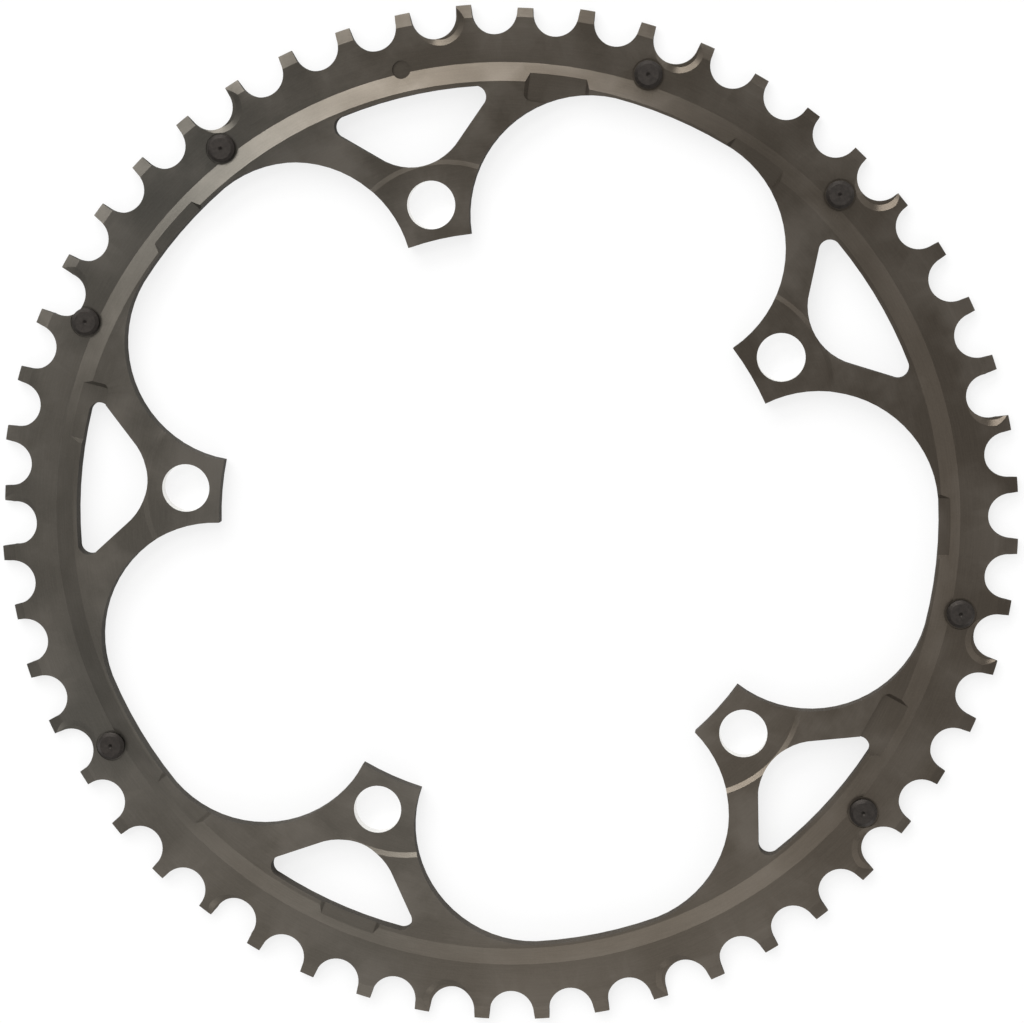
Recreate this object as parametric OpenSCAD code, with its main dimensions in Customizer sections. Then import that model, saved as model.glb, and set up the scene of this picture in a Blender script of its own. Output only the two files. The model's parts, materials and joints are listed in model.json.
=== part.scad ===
// Outer bicycle chainring with five bolt tabs, lying on its back face.
// Z is the ring's axis and points out of the inner face, the one with ramps and pins.
// Valley 0 is the first valley counter-clockwise of -Y, where one tab is centred on a tooth.

/* [Teeth] */
// Number of teeth
teeth = 52; // [50:1:54]
// Chain pitch
chain_pitch = 12.7; // [12.6:0.05:12.8]
// Diameter of the chain's rollers
roller_d = 7.75; // [7.6:0.05:7.9]
// Play under a roller that lies on the pitch circle
root_gap = 0.2; // [0.1:0.05:0.3]
// Radius of the roller seat at the bottom of each valley
valley_r = 4.75; // [4.5:0.05:4.85]
// Lean of each tooth flank from the middle line of its valley
flank_angle = 7; // [5:0.5:12]
// Height of the tooth tips above the pitch circle
tip_height = 2.2; // [1.9:0.05:2.4]
// Thickness of the toothed plate
tooth_t = 2.2; // [2:0.1:2.6]
// Thickness left at the tooth tips
tip_t = 0.9; // [0.7:0.1:1.3]
// Radial length of the bevels on both faces of the tooth tips
tip_bevel = 2.7; // [2:0.1:3.2]
// Extra depth of the deepened valleys
deep_extra = 1.45; // [1.2:0.05:1.6]
// Radius at the bottom of the deepened valleys
deep_r = 4.6; // [4.3:0.1:4.7]
// Height that the lowered teeth lack
low_drop = 0.8; // [0.4:0.1:1.2]

/* [Body] */
// Thickness of the rim, legs and tabs
body_t = 4; // [3.4:0.1:4.8]
// Radial distance from the pitch circle to the foot of the sloping band
plate_w = 9.8; // [9.4:0.1:10.2]
// Radial width of the sloping band between the plate and the rim's flat
band_w = 3.9; // [3.4:0.1:4.2]
// Radial width of the rim's narrow flat between the band and the scallops
land_w = 0.55; // [0.4:0.05:1]
// Radius of the rounded ends of each scallop
scallop_r = 24.8; // [23.4:0.2:26]
// Least width of the legs between the scallops and the round bases of the windows
leg_w = 6.2; // [5.4:0.1:7]
// Least wall between each bolt hole and the scallops beside it
tab_wall = 2.9; // [2:0.1:3.6]
// Wall between each bolt hole and the concave end of its tab
tab_lip = 2.25; // [1.8:0.05:3]

/* [Bolts] */
// Bolt circle diameter
bolt_circle = 135; // [134:0.5:136]
// Diameter of the bolt holes
bolt_d = 10.1; // [9.8:0.05:10.4]
// Depth of the spider seat below the tab's face
seat_depth = 0.6; // [0.3:0.1:1]
// Radius of the curved outer edge of the seat
seat_r = 22.2; // [20:0.2:25]
// Radial reach of the seat beyond the bolt circle
seat_reach = 8.1; // [7.4:0.1:8.4]
// Width of the sloping wall round the seat
seat_wall = 1; // [0.6:0.1:1.4]

/* [Windows] */
// Wall between each bolt hole and its window
window_bridge = 3.2; // [2.8:0.1:3.8]
// Radius of the rounded base of the window
window_base_r = 12.4; // [11.8:0.1:12.8]
// Lean of the window's straight sides
window_lean = 42.5; // [40:0.5:45]
// Radius of the window's outer corners
window_corner_r = 2.3; // [1.8:0.1:2.6]
// Rim left between the window's outer edge and the scallops' circle
window_step = 0.3; // [0.2:0.1:0.8]

/* [Shift aids] */
// Radial distance from the pitch circle to the pins
pin_drop = 7.7; // [7.6:0.1:8.2]
// Sideways offset of each pin from the middle of its valley
pin_side = 3; // [2.6:0.1:3.4]
// Shank diameter of the riveted pins, also the bore they fill
pin_d = 3; // [2.5:0.1:3.2]
// Head diameter of the pins
pin_head_d = 5.8; // [5.2:0.1:6]
// Height of the pin heads above the toothed plate
pin_rise = 1.5; // [1.2:0.1:2]
// Bevel round the crown of the pin heads
pin_bevel = 0.7; // [0.4:0.1:0.9]
// Depth of the centre mark in the pin heads
pin_mark = 0.5; // [0.3:0.1:0.7]
// Gap all round between a pin head and its spotface
pin_gap = 0.4; // [0.2:0.1:0.6]
// Depth of the spotfaces below the toothed plate
spot_depth = 0.3; // [0.2:0.05:0.5]
// Depth of the shift gates cut into every fourth valley
gate_depth = 0.8; // [0.6:0.05:1]
// Greatest width of the flat ledge between a gate's wall and its valley
gate_ledge = 0.8; // [0.5:0.1:1]
// Width of the sloping wall of a gate
gate_wall = 1.25; // [0.9:0.05:1.4]
// Sideways shift of a gate from its valley
gate_side = 1.2; // [0.9:0.05:1.3]
// Inward shift of a gate from its valley
gate_drop = 1.1; // [0.9:0.05:1.3]
// Depth of the ramp pockets below the rim's flat
ramp_depth = 0.85; // [0.5:0.05:1.1]
// Distance from the pitch circle to the inner edge of the ramp pockets
ramp_drop = 17.9; // [17.2:0.1:18.6]
// Middle of a ramp pocket, in pitches from its valley
ramp_at = 1.82; // [1.7:0.02:1.9]
// Width of the ramp pockets along the rim
ramp_w = 13.4; // [12:0.2:14.4]
// Corner radius of the ramp pockets
ramp_corner = 2.2; // [1.4:0.1:2.6]
// Length of the sloping ends of the ramp pockets
ramp_lead = 0.8; // [0.5:0.05:1.2]
// Diameter of the small dimple at the foot of one tooth
dimple_d = 3.8; // [3:0.1:4.4]
// Distance from the pitch circle to the dimple
dimple_drop = 9; // [8.4:0.1:9.4]
// Depth of the dimple
dimple_depth = 0.5; // [0.3:0.05:0.7]

/* [Hidden] */
tabs = 5;
over = 0.5;
// Overlap with which a straight side crosses the round ends it runs into
lap = 0.02;
// Turn that puts the seam of a seat's wall off the ring
seat_seam = 178;

// Valleys that hold a pin, that start a ramp pocket and that are cut deeper
pin_valleys = [10, 14, 22, 26, 34, 38, 46];
ramp_valleys = [10, 14, 22, 26, 34, 38, 46, 50];
deep_valleys = [18, 38, 42, 50];
// Teeth that are lowered, each named by the valley clockwise of it
low_teeth = [10, 11, 21, 22, 23, 24, 28, 41, 43, 46, 49];
gate_every = 4;
gate_first = 2;
dimple_at = 30.7;

tooth_step = 360 / teeth;
pitch_r = chain_pitch / 2 / sin(tooth_step / 2);
tip_r = pitch_r + tip_height;
root_r = pitch_r - roller_d / 2 - root_gap;
valley_at = root_r + valley_r;
rim_in = pitch_r - plate_w - band_w - land_w;
plate_z = tooth_t;
tip_low = (tooth_t - tip_t) / 2;
bolt_r = bolt_circle / 2;
tab_end_r = bolt_r - bolt_d / 2 - tab_lip;
seat_z = body_t - seat_depth;
window_out = rim_in - window_step;
window_base = bolt_r + bolt_d / 2 + window_bridge + window_base_r;
scallop_at = rim_in - scallop_r + lap;
tab_turn = turn_clear(bolt_r, bolt_d / 2 + tab_wall);
leg_turn = turn_clear(window_base, window_base_r + leg_w);
scallop_spread = 180 / tabs - max(tab_turn, leg_turn);
head_r = pin_head_d / 2;
spot_z = tooth_t - spot_depth;
head_z = tooth_t + pin_rise;
gate_shift = sqrt(gate_side * gate_side + gate_drop * gate_drop);
ramp_in = pitch_r - ramp_drop;
ramp_out = pitch_r - plate_w - 0.5;
ramp_z = body_t - ramp_depth;

// Angle of valley n about +Z
function valley_angle(n) = -90 + (n + 0.5) * tooth_step;

// Angle between a scallop's round end and a point at radius r that stays clear of it by gap
function turn_clear(r, gap) =
    acos((pow(scallop_at, 2) + pow(r, 2) - pow(scallop_r + gap, 2)) / (2 * scallop_at * r));

// Point at radius r and angle a
function polar(r, a) = [r * cos(a), r * sin(a)];

// One roller valley: a round seat that opens into straight flanks, centred on +X
module valley_2d() {
    low = (valley_r - lap) * sin(flank_angle);
    half = (valley_r - lap) * cos(flank_angle);
    top = tip_r - valley_at + 2;
    wide = half + (top + low) * tan(flank_angle);
    translate([valley_at, 0])
        union() {
            circle(r = valley_r, $fn = 28);
            polygon([[-low, -half], [top, -wide], [top, wide], [-low, half]]);
        }
}

// The round bottom of a deepened valley
module deep_2d() {
    translate([root_r - deep_extra + deep_r, 0])
        circle(r = deep_r, $fn = 28);
}

// Centre opening: a disc between the tab ends and five scallops inside the rim
module opening_2d() {
    reach = rim_in / cos(scallop_spread) + 2;
    intersection() {
        circle(r = rim_in, $fn = 180);
        union() {
            circle(r = tab_end_r, $fn = 180);
            for (k = [0:tabs - 1])
                rotate(-90 + (k + 0.5) * 360 / tabs) {
                    polygon([[0, 0], polar(reach, -scallop_spread), polar(reach, scallop_spread)]);
                    for (side = [-1, 1])
                        rotate(side * scallop_spread)
                            translate([scallop_at, 0])
                                circle(r = scallop_r, $fn = 90);
                }
        }
    }
}

// Window above a bolt hole, pointing along +X: round base, straight sides, round outer corners
module window_2d() {
    side_dir = [sin(window_lean), cos(window_lean)];
    side_out = [-cos(window_lean), sin(window_lean)];
    base = [window_base, 0];
    start = base + (window_base_r - window_corner_r) * side_out;
    corner_r = window_out - window_corner_r + lap;
    along = -start * side_dir + sqrt(pow(start * side_dir, 2) - start * start + corner_r * corner_r);
    corner = start + along * side_dir;
    foot = base + (window_base_r - lap) * side_out;
    knee = corner + (window_corner_r - lap) * side_out;
    corner_a = atan2(corner[1], corner[0]);
    far = polar(window_out / cos(corner_a) + 1, corner_a);
    intersection() {
        circle(r = window_out, $fn = 180);
        union() {
            translate(base)
                circle(r = window_base_r, $fn = 48);
            for (s = [-1, 1])
                translate([corner[0], s * corner[1]])
                    circle(r = window_corner_r, $fn = 24);
            polygon([base, foot, knee, corner, far, [far[0], -far[1]], [corner[0], -corner[1]],
                     [knee[0], -knee[1]], [foot[0], -foot[1]]]);
        }
    }
}

// Plan of one ramp pocket, centred on +X and open outwards onto the sloping band
module ramp_2d() {
    start = ramp_in + ramp_corner;
    half = (ramp_w + over) / 2;
    side = half - ramp_corner;
    translate([start, -half])
        square([ramp_out - start, 2 * half]);
    translate([ramp_in, -side])
        square([ramp_corner + 1, 2 * side]);
    for (s = [-1, 1])
        translate([start, s * side])
            circle(r = ramp_corner, $fn = 24);
}

// One ramp pocket: a flat floor between two sloping ends
module ramp_cut() {
    foot = ramp_w / 2 - ramp_lead;
    high = ramp_depth + over;
    brim = foot + high * ramp_lead / ramp_depth;
    intersection() {
        translate([0, 0, -over])
            linear_extrude(high + 2 * over)
                ramp_2d();
        translate([ramp_in - over, 0, 0])
            rotate([90, 0, 90])
                linear_extrude(ramp_out - ramp_in + 2 * over)
                    polygon([[-foot, 0], [foot, 0], [brim, high], [-brim, high]]);
    }
}

// Solid of revolution: flat back, thick rim, sloping band, thin toothed plate, bevelled tips
module blank() {
    band_foot = pitch_r - plate_w;
    bevel_foot = tip_r - tip_bevel;
    rotate_extrude($fn = 180)
        polygon([[tab_end_r - over, 0], [bevel_foot, 0], [tip_r, tip_low], [tip_r, tip_low + tip_t],
                 [bevel_foot, plate_z], [band_foot, plate_z], [band_foot - band_w, body_t],
                 [tab_end_r - over, body_t]]);
}

// Everything that goes right through the ring
module through_cuts() {
    translate([0, 0, -over])
        linear_extrude(body_t + 2 * over) {
            opening_2d();
            for (k = [0:tabs - 1])
                rotate(-90 + k * 360 / tabs) {
                    window_2d();
                    translate([bolt_r, 0])
                        circle(d = bolt_d, $fn = 48);
                }
        }
    translate([0, 0, -over])
        linear_extrude(tooth_t + 2 * over)
            for (n = [0:teeth - 1])
                rotate(valley_angle(n))
                    valley_2d();
    translate([0, 0, -over])
        linear_extrude(tooth_t + 2 * over)
            for (n = deep_valleys)
                rotate(valley_angle(n))
                    deep_2d();
    translate([0, 0, -over])
        linear_extrude(tooth_t + 2 * over)
            for (n = low_teeth)
                rotate(valley_angle(n + 0.5))
                    translate([tip_r - low_drop, -chain_pitch / 2])
                        square([low_drop + 1, chain_pitch]);
}

// Places a child at the centre of pin i
module at_pin(i) {
    rotate(valley_angle(pin_valleys[i]))
        translate([pitch_r - pin_drop, pin_side, 0])
            children();
}

// Seat for the crank's spider on the inner face of each tab
module seats() {
    wide_r = seat_r + seat_wall * (1 + over / seat_depth);
    for (k = [0:tabs - 1])
        rotate(-90 + k * 360 / tabs)
            translate([bolt_r + seat_reach - seat_r, 0, seat_z])
                rotate(seat_seam)
                    cylinder(h = seat_depth + over, r1 = seat_r, r2 = wide_r, $fn = 90);
}

// Gates that let the chain climb at every fourth valley: a flat ledge inside a sloping wall
module gates() {
    low_r = valley_r + gate_ledge - gate_shift;
    slope = gate_wall / gate_depth;
    for (n = [gate_first:gate_every:teeth - 1])
        rotate(valley_angle(n))
            translate([valley_at - gate_drop, -gate_side, tooth_t - gate_depth])
                cylinder(h = gate_depth + over, r1 = low_r, r2 = low_r + gate_wall + over * slope, $fn = 36);
}

module ring() {
    color([0.32, 0.3, 0.275])
        difference() {
            blank();
            through_cuts();
            seats();
            gates();
            for (n = ramp_valleys)
                rotate(valley_angle(n + ramp_at))
                    translate([0, 0, ramp_z])
                        ramp_cut();
            for (i = [0:len(pin_valleys) - 1])
                at_pin(i) {
                    translate([0, 0, -over])
                        cylinder(h = tooth_t + 2 * over, d = pin_d, $fn = 32);
                    translate([0, 0, spot_z])
                        cylinder(h = body_t, r = head_r + pin_gap, $fn = 32);
                }
            rotate(valley_angle(dimple_at))
                translate([pitch_r - dimple_drop, 0, tooth_t - dimple_depth])
                    cylinder(h = body_t, d = dimple_d, $fn = 32);
        }
}

// Riveted steel pin: shank, round head with a bevelled crown and a centre mark
module shift_pin(i) {
    crown = head_r - pin_bevel;
    color([0.18, 0.17, 0.16])
        at_pin(i)
            rotate_extrude($fn = 32)
                polygon([[0, 0], [pin_d / 2, 0], [pin_d / 2, spot_z], [head_r, spot_z],
                         [head_r, head_z - pin_bevel], [crown, head_z], [pin_mark, head_z],
                         [0, head_z - pin_mark]]);
}

module shift_pin_1() { shift_pin(0); }
module shift_pin_2() { shift_pin(1); }
module shift_pin_3() { shift_pin(2); }
module shift_pin_4() { shift_pin(3); }
module shift_pin_5() { shift_pin(4); }
module shift_pin_6() { shift_pin(5); }
module shift_pin_7() { shift_pin(6); }

ring();
shift_pin_1();
shift_pin_2();
shift_pin_3();
shift_pin_4();
shift_pin_5();
shift_pin_6();
shift_pin_7();
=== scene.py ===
import json
import math

import bpy
from mathutils import Matrix, Vector

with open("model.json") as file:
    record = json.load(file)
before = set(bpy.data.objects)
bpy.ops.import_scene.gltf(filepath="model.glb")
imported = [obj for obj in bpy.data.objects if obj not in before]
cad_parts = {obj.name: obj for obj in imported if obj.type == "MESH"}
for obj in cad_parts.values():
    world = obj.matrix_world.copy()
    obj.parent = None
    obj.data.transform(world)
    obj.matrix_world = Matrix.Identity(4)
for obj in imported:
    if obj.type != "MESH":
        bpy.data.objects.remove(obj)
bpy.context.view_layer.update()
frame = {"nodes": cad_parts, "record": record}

# A bicycle chainring that lies on a white floor, lit from the picture's upper left.
# Lengths are in metres, and written colours are display colours from 0 to 255.

nodes = frame["nodes"]
scene = bpy.context.scene

# The bolt holes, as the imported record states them; one lies on -Y and the rest repeat round Z
bolts = next(m for m in frame["record"]["mounts"] if m["name"] == "spider_bolts")["dims"]
BOLT_COUNT = bolts["count"]
BOLT_CIRCLE_R = bolts["pcd_mm"] / 2000
HOLE_R = bolts["hole_r_mm"] / 1000
HOLE_MARGIN = 0.0001
FIRST_HOLE = -math.pi / 2

# The anodised alloy: a colour that drifts round the ring from brown to grey, and painted light that
# makes it paler on one side and darker on the other
BROWN = (92, 84, 75)
MIDDLE = (95, 88, 79)
GREY = (88, 86, 81)
GREY_SIDE = math.radians(205)
GREY_REACH = 0.3
DRIFT_NOISE = 0.8
# Painted light: the side of the ring where the colour is made paler, and how far paler and darker
# it goes
PAINTED_LIGHT_SIDE = math.radians(262)
PAINTED_LIGHT_SPREAD = 0.18

# How its faces take light
METALLIC = 0.85
SPECULAR = 0.1
ROUGH = 0.275
ROUGH_DRIFT = 0.07

# Its painted highlights on sharp edges, its cut walls with painted shade and its bare bores. A wall
# is where the Z part of the normal is under WALL_TILT, and a face or bevel is where it is over
# twice that.
PAINTED_EDGE_HIGHLIGHT = (150, 143, 134)
EDGE_HIGHLIGHT_SHARE = 0.3
EDGE_HIGHLIGHT_FROM = 0.53
EDGE_HIGHLIGHT_RISE = 9.0
WALL_TILT = 0.25
WALL_PAINTED_SHADE = 0.45
WALL_MATT = 0.5
BORE = (240, 239, 236)
BORE_SMOOTH = 0.4

# Its grain: scales in repeats per metre, and how far each changes the colour
BROAD_SCALE = 9.0
CLOUD_SCALE = 70.0
CLOUD_SPREAD = 0.03
SPECK_SCALE = 2600.0
SPECK_SPREAD = 0.03
SPECK_RELIEF = 0.4
LINE_SCALE = 3600.0
LINE_STRETCH = 0.004
LINE_SPREAD = 0.04
LINE_RELIEF = 0.7
ALLOY_RELIEF = (0.1, 0.00003)

# The darkened steel of the pins
STEEL_DARK = (50, 46, 43)
STEEL_LIGHT = (66, 61, 57)
STEEL_METALLIC = 0.7
STEEL_SCALE = 1500.0
STEEL_ROUGH = 0.4
STEEL_ROUGH_DRIFT = 0.15
STEEL_RELIEF = (0.15, 0.00004)

# The stage
FLOOR_SIZE = 12.0
FLOOR_DROP = 0.00002
FLOOR_SCALE = 60.0
FLOOR_DULL = 0.985
FLOOR_ROUGH = 0.9
FLOOR_SPECULAR = 0.1
FLOOR_WHITE = 0.76
WORLD_LEVEL = 0.45
LAMP_FAR = 2.2

# The camera as fitted to the photograph: its place, and its right, up and back directions
CAM_PLACE = (0.030191, 0.097255, 0.711766)
CAM_ROWS = (
    (0.914977, 0.393302, -0.090169),
    (-0.401453, 0.909815, -0.105227),
    (0.040651, 0.132478, 0.990352),
)
CAM_SENSOR = 36.0
CAM_LENS = 119.936
CAM_NEAR = 0.01
CAM_FAR = 20.0


# Node helpers

def new_material(name):
    """An empty material with a Principled shader: the material, its tree, shader and output."""
    material = bpy.data.materials.new(name)
    material.use_nodes = True
    tree = material.node_tree
    tree.nodes.clear()
    out = tree.nodes.new("ShaderNodeOutputMaterial")
    bsdf = tree.nodes.new("ShaderNodeBsdfPrincipled")
    tree.links.new(bsdf.outputs["BSDF"], out.inputs["Surface"])
    return material, tree, bsdf, out


def linear(rgb):
    """Linear colour from a display colour given as 0 to 255."""
    levels = [c / 255 for c in rgb]
    parts = [v / 12.92 if v <= 0.04045 else ((v + 0.055) / 1.055) ** 2.4 for v in levels]
    return (*parts, 1.0)


def level(value):
    """A grey that multiplies a colour; at 1 it changes nothing."""
    return (value, value, value, 1.0)


def feed(tree, socket, value):
    """Sets a socket to a number or a colour, or links an output to it."""
    if isinstance(value, (int, float, tuple)):
        socket.default_value = value
    else:
        tree.links.new(value, socket)


def math_node(tree, op, *values, clamp=False):
    """The result of a Math node on up to three values."""
    n = tree.nodes.new("ShaderNodeMath")
    n.operation = op
    n.use_clamp = clamp
    for socket, value in zip(n.inputs, values):
        feed(tree, socket, value)
    return n.outputs[0]


def length_of(tree, a, b):
    """The length of a vector with the parts a and b."""
    squares = [math_node(tree, "MULTIPLY", part, part) for part in (a, b)]
    return math_node(tree, "SQRT", math_node(tree, "ADD", *squares))


def ramp(tree, value, low_at, low, high_at, high, middle=None):
    """A colour that goes from low to high between two values, by way of a middle one if given."""
    n = tree.nodes.new("ShaderNodeValToRGB")
    tree.links.new(value, n.inputs["Fac"])
    stops = n.color_ramp.elements
    stops[0].position, stops[0].color = low_at, low
    stops[1].position, stops[1].color = high_at, high
    if middle:
        stops.new((low_at + high_at) / 2).color = middle
    return n.outputs["Color"]


def spread_ramp(tree, value, low_at, high_at, spread):
    """A grey about 1 that goes from a spread under it to as much over it."""
    return ramp(tree, value, low_at, level(1 - spread), high_at, level(1 + spread))


def mix(tree, fac, a, b, kind="MIX"):
    """Two colours mixed, or multiplied with kind MULTIPLY."""
    n = tree.nodes.new("ShaderNodeMix")
    n.data_type = "RGBA"
    n.blend_type = kind
    for name, value in (("Factor", fac), ("A", a), ("B", b)):
        feed(tree, n.inputs[name], value)
    return n.outputs["Result"]


def noise(tree, vector, scale, detail=2.0, rough=0.5):
    """Noise about one half, with its scale in repeats per metre."""
    n = tree.nodes.new("ShaderNodeTexNoise")
    n.inputs["Scale"].default_value = scale
    n.inputs["Detail"].default_value = detail
    n.inputs["Roughness"].default_value = rough
    tree.links.new(vector, n.inputs["Vector"])
    return n.outputs["Fac"]


def relief(tree, bsdf, height, strength, distance):
    """Fine relief on a shader, from a height."""
    n = tree.nodes.new("ShaderNodeBump")
    n.inputs["Strength"].default_value = strength
    n.inputs["Distance"].default_value = distance
    tree.links.new(height, n.inputs["Height"])
    tree.links.new(n.outputs["Normal"], bsdf.inputs["Normal"])


def polar(tree, place):
    """Radius and angle about the ring's axis."""
    sep = tree.nodes.new("ShaderNodeSeparateXYZ")
    tree.links.new(place, sep.inputs[0])
    x, y = sep.outputs[:2]
    return length_of(tree, x, y), math_node(tree, "ARCTAN2", y, x)


def towards(tree, angle, side):
    """One on the named side of the ring, minus one opposite it."""
    return math_node(tree, "COSINE", math_node(tree, "SUBTRACT", angle, side))


def hole_mask(tree, radius, angle):
    """One within a bolt hole's rim and nought elsewhere."""
    # The turn is the angle away from the nearest hole, counted a whole turn on from the first
    turn = math_node(tree, "ADD", angle, 2 * math.pi - FIRST_HOLE)
    turn = math_node(tree, "PINGPONG", turn, math.pi / BOLT_COUNT)
    along = math_node(tree, "MULTIPLY", radius, math_node(tree, "COSINE", turn))
    along = math_node(tree, "SUBTRACT", along, BOLT_CIRCLE_R)
    across = math_node(tree, "MULTIPLY", radius, math_node(tree, "SINE", turn))
    return math_node(tree, "LESS_THAN", length_of(tree, along, across), HOLE_R + HOLE_MARGIN)


# Materials

def alloy_material():
    """Anodised aluminium: cloudy colour, turned lines, painted light paler on one side, painted
    highlights on edges, cut walls darkened with painted shade, bare bores.
    """
    material, t, bsdf, _ = new_material("ring_alloy_finish_and_painted_light")
    coords = t.nodes.new("ShaderNodeTexCoord")
    place = coords.outputs["Object"]
    radius, angle = polar(t, place)

    broad = noise(t, place, BROAD_SCALE)
    cloud = noise(t, place, CLOUD_SCALE, detail=4.0)
    speck = noise(t, place, SPECK_SCALE)
    unrolled = t.nodes.new("ShaderNodeCombineXYZ")
    t.links.new(radius, unrolled.inputs[0])
    t.links.new(math_node(t, "MULTIPLY", angle, LINE_STRETCH), unrolled.inputs[1])
    lines = noise(t, unrolled.outputs[0], LINE_SCALE)

    # The drift is 0 where the ring is brown and 1 where it is grey, with noise about one half
    drift = math_node(t, "MULTIPLY_ADD", broad, DRIFT_NOISE, (1 - DRIFT_NOISE) / 2)
    greying = towards(t, angle, GREY_SIDE)
    drift = math_node(t, "MULTIPLY_ADD", greying, GREY_REACH, drift, clamp=True)
    colour = ramp(t, drift, 0.1, linear(BROWN), 0.9, linear(GREY), middle=linear(MIDDLE))
    # Painted light: the colour is made paler towards one side of the ring and darker opposite
    painted_light = math_node(t, "MULTIPLY_ADD", towards(t, angle, PAINTED_LIGHT_SIDE), 0.5, 0.5)
    for part in (
        spread_ramp(t, painted_light, 0.0, 1.0, PAINTED_LIGHT_SPREAD),
        spread_ramp(t, cloud, 0.3, 0.7, CLOUD_SPREAD),
        spread_ramp(t, speck, 0.35, 0.65, SPECK_SPREAD),
        spread_ramp(t, lines, 0.35, 0.65, LINE_SPREAD),
    ):
        colour = mix(t, 1.0, colour, part, "MULTIPLY")

    # Painted highlights: sharp edges made lighter, in patches
    shape = t.nodes.new("ShaderNodeNewGeometry")
    edge = math_node(t, "SUBTRACT", shape.outputs["Pointiness"], EDGE_HIGHLIGHT_FROM, clamp=True)
    edge = math_node(t, "MULTIPLY", edge, EDGE_HIGHLIGHT_RISE, clamp=True)
    edge_highlight = math_node(t, "MULTIPLY", edge, ramp(t, cloud, 0.4, level(0.0), 0.6, level(1.0)))
    colour = mix(t, math_node(t, "MULTIPLY", edge_highlight, EDGE_HIGHLIGHT_SHARE), colour, linear(PAINTED_EDGE_HIGHLIGHT))

    # The face mask is 1 on faces and bevels and 0 on upright walls; the bolt holes' walls are bare
    normal = t.nodes.new("ShaderNodeSeparateXYZ")
    t.links.new(coords.outputs["Normal"], normal.inputs[0])
    face = math_node(t, "ABSOLUTE", normal.outputs[2])
    face = math_node(t, "MULTIPLY_ADD", face, 1 / WALL_TILT, -1.0, clamp=True)
    # Painted shade: upright walls are darkened in colour
    walls = ramp(t, face, 0.0, level(WALL_PAINTED_SHADE), 1.0, level(1.0))
    colour = mix(t, 1.0, colour, walls, "MULTIPLY")
    wall = math_node(t, "SUBTRACT", 1.0, face)
    bore = math_node(t, "MULTIPLY", wall, hole_mask(t, radius, angle))
    colour = mix(t, bore, colour, linear(BORE))
    t.links.new(colour, bsdf.inputs["Base Color"])

    metal = math_node(t, "MAXIMUM", math_node(t, "MULTIPLY", face, METALLIC), bore)
    t.links.new(metal, bsdf.inputs["Metallic"])
    bsdf.inputs["Specular IOR Level"].default_value = SPECULAR
    smooth = math_node(t, "MULTIPLY_ADD", cloud, ROUGH_DRIFT, ROUGH)
    matt = math_node(t, "MULTIPLY_ADD", face, -WALL_MATT, WALL_MATT)
    matt = math_node(t, "MULTIPLY_ADD", bore, -BORE_SMOOTH, matt)
    t.links.new(math_node(t, "ADD", smooth, matt), bsdf.inputs["Roughness"])

    line_height = math_node(t, "MULTIPLY", lines, LINE_RELIEF)
    speck_height = math_node(t, "MULTIPLY", speck, SPECK_RELIEF)
    relief(t, bsdf, math_node(t, "ADD", line_height, speck_height), *ALLOY_RELIEF)
    return material


def pin_material():
    """Darkened steel of the riveted pins."""
    material, t, bsdf, _ = new_material("pin_steel_finish")
    coords = t.nodes.new("ShaderNodeTexCoord")
    grain = noise(t, coords.outputs["Object"], STEEL_SCALE, detail=4.0, rough=0.6)
    colour = ramp(t, grain, 0.3, linear(STEEL_DARK), 0.7, linear(STEEL_LIGHT))
    t.links.new(colour, bsdf.inputs["Base Color"])
    bsdf.inputs["Metallic"].default_value = STEEL_METALLIC
    smooth = math_node(t, "MULTIPLY_ADD", grain, STEEL_ROUGH_DRIFT, STEEL_ROUGH)
    t.links.new(smooth, bsdf.inputs["Roughness"])
    relief(t, bsdf, grain, *STEEL_RELIEF)
    return material


def camera_or_mirror(tree):
    """One for rays that the camera, a mirror or glass looks along, and nought for the light."""
    path = tree.nodes.new("ShaderNodeLightPath")
    both = math_node(tree, "MAXIMUM", path.outputs["Is Camera Ray"], path.outputs["Is Glossy Ray"])
    return math_node(tree, "MAXIMUM", both, path.outputs["Is Transmission Ray"])


def floor_material():
    """Matt white that shows as nearly plain white and keeps a soft shadow."""
    material, t, bsdf, out = new_material("floor_white")
    coords = t.nodes.new("ShaderNodeTexCoord")
    grain = noise(t, coords.outputs["Object"], FLOOR_SCALE, detail=3.0, rough=0.55)
    colour = ramp(t, grain, 0.3, level(FLOOR_DULL), 0.7, level(1.0))
    t.links.new(colour, bsdf.inputs["Base Color"])
    bsdf.inputs["Roughness"].default_value = FLOOR_ROUGH
    bsdf.inputs["Specular IOR Level"].default_value = FLOOR_SPECULAR
    glow = t.nodes.new("ShaderNodeEmission")
    glow.inputs["Color"].default_value = level(1.0)
    glow.inputs["Strength"].default_value = 1.0
    blend = t.nodes.new("ShaderNodeMixShader")
    t.links.new(math_node(t, "MULTIPLY", camera_or_mirror(t), FLOOR_WHITE), blend.inputs[0])
    t.links.new(bsdf.outputs["BSDF"], blend.inputs[1])
    t.links.new(glow.outputs[0], blend.inputs[2])
    t.links.new(blend.outputs[0], out.inputs["Surface"])
    return material


ALLOY = alloy_material()
PIN = pin_material()
for name, node in nodes.items():
    node.data.materials.clear()
    node.data.materials.append(ALLOY if name == "ring" else PIN)


# Floor and world

bpy.ops.mesh.primitive_plane_add(size=FLOOR_SIZE, location=(0, 0, -FLOOR_DROP))
floor = bpy.context.object
floor.name = "floor"
floor.data.materials.append(floor_material())

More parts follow.
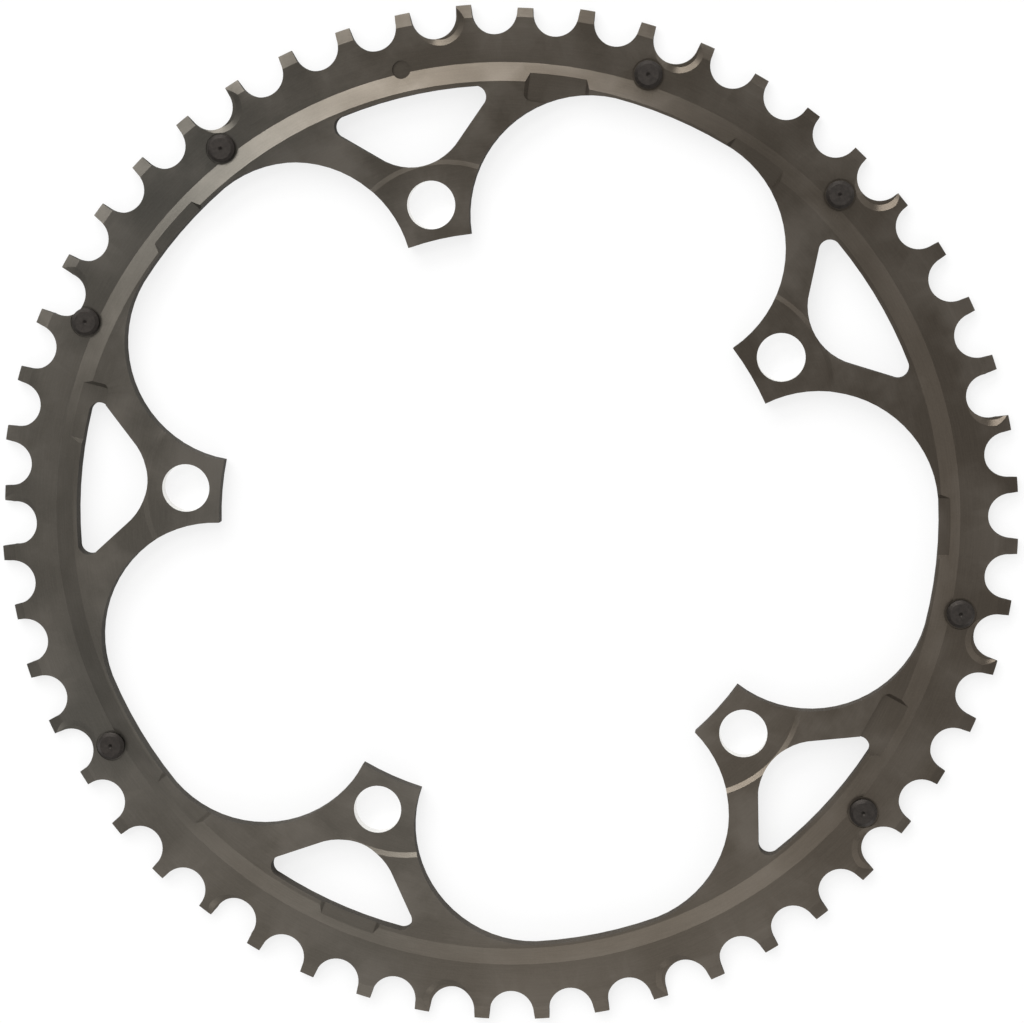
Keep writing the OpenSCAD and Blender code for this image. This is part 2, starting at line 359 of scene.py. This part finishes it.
world = bpy.data.worlds.new("studio")
scene.world = world
world.use_nodes = True
world_tree = world.node_tree
world_tree.nodes.clear()
world_out = world_tree.nodes.new("ShaderNodeOutputWorld")
background = world_tree.nodes.new("ShaderNodeBackground")
background.inputs["Color"].default_value = level(1.0)
background.inputs["Strength"].default_value = WORLD_LEVEL
world_tree.links.new(background.outputs[0], world_out.inputs["Surface"])


# Camera

cam_data = bpy.data.cameras.new("camera")
cam_data.sensor_width = CAM_SENSOR
cam_data.lens = CAM_LENS
cam_data.clip_start = CAM_NEAR
cam_data.clip_end = CAM_FAR
cam = bpy.data.objects.new("camera", cam_data)
scene.collection.objects.link(cam)
cam.matrix_world = Matrix.Translation(CAM_PLACE) @ Matrix(CAM_ROWS).transposed().to_4x4()
scene.camera = cam


# Lamps

def from_camera(x, y, z):
    """A vector in the frame, from its parts along the camera's right, up and back directions."""
    right, up, back = (Vector(row) for row in CAM_ROWS)
    return right * x + up * y + back * z


def softbox(name, power, azimuth, tilt, wide, high):
    """A rectangular lamp that faces the ring's centre.

    Its azimuth is counted in the picture from its right, and its tilt from the camera's axis.
    """
    az, ti = math.radians(azimuth), math.radians(tilt)
    place = from_camera(
        LAMP_FAR * math.sin(ti) * math.cos(az),
        LAMP_FAR * math.sin(ti) * math.sin(az),
        LAMP_FAR * math.cos(ti),
    )
    data = bpy.data.lights.new(name, "AREA")
    data.energy = power
    data.shape = "RECTANGLE"
    data.size = wide
    data.size_y = high
    lamp = bpy.data.objects.new(name, data)
    scene.collection.objects.link(lamp)
    facing = place.normalized()
    across = from_camera(-math.sin(az), math.cos(az), 0.0).normalized()
    turn = Matrix((across, facing.cross(across), facing)).transposed().to_4x4()
    lamp.matrix_world = Matrix.Translation(place) @ turn


softbox("key", 30.5, 115.0, 58.0, 2.1, 0.8)
softbox("left", 4.8, 155.0, 58.0, 1.2, 0.8)
softbox("top", 12.0, 125.0, 30.0, 2.2, 0.6)
softbox("front", 0.9, 248.0, 26.0, 1.0, 0.6)
softbox("low", 11.0, 266.0, 63.0, 3.6, 0.7)
softbox("side", 9.6, 11.0, 53.0, 4.8, 0.9)

scene.view_settings.view_transform = "Standard"
